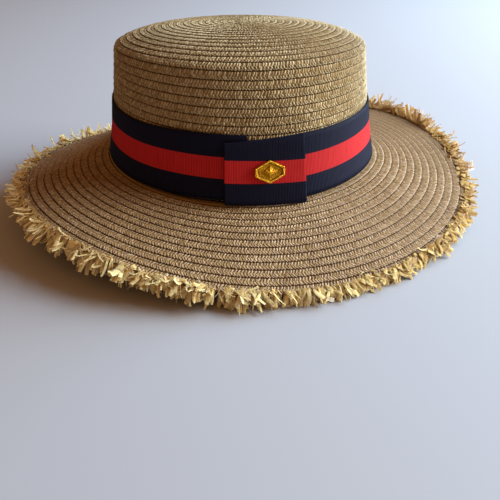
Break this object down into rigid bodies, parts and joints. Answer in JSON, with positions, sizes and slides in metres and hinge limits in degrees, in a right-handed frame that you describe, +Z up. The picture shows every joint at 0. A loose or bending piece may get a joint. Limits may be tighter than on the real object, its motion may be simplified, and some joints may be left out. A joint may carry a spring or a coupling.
{
  "type": "straw boater hat",
  "caption": "Straw hat of sewn braid rows with a low, slightly domed crown, a striped ribbon band, a folded ribbon keeper with a small metal badge, and a wavy brim with a frayed edge.",
  "frame": {"origin": "on the surface that the hat rests on, below the middle of its outline", "axes": "+Z up through the crown, -Y to the front of the hat, -X to the wearer's right, where the keeper and badge are"},
  "size_m": [0.3404, 0.378, 0.1351],
  "materials": {
    "straw_braid": "sewn paper-straw braid, matt",
    "striped_ribbon": "ribbed ribbon, dark blue with a red stripe along its middle",
    "gilt_badge": "polished gilt",
    "frayed_straw": "frayed flat straw strips, satin"
  },
  "bodies": {
    "root": {"crown": "straw_braid", "brim": "straw_braid", "ribbon_band": "striped_ribbon", "ribbon_keeper": "striped_ribbon", "badge": "gilt_badge", "brim_fringe": "frayed_straw"}
  },
  "joints": []
}
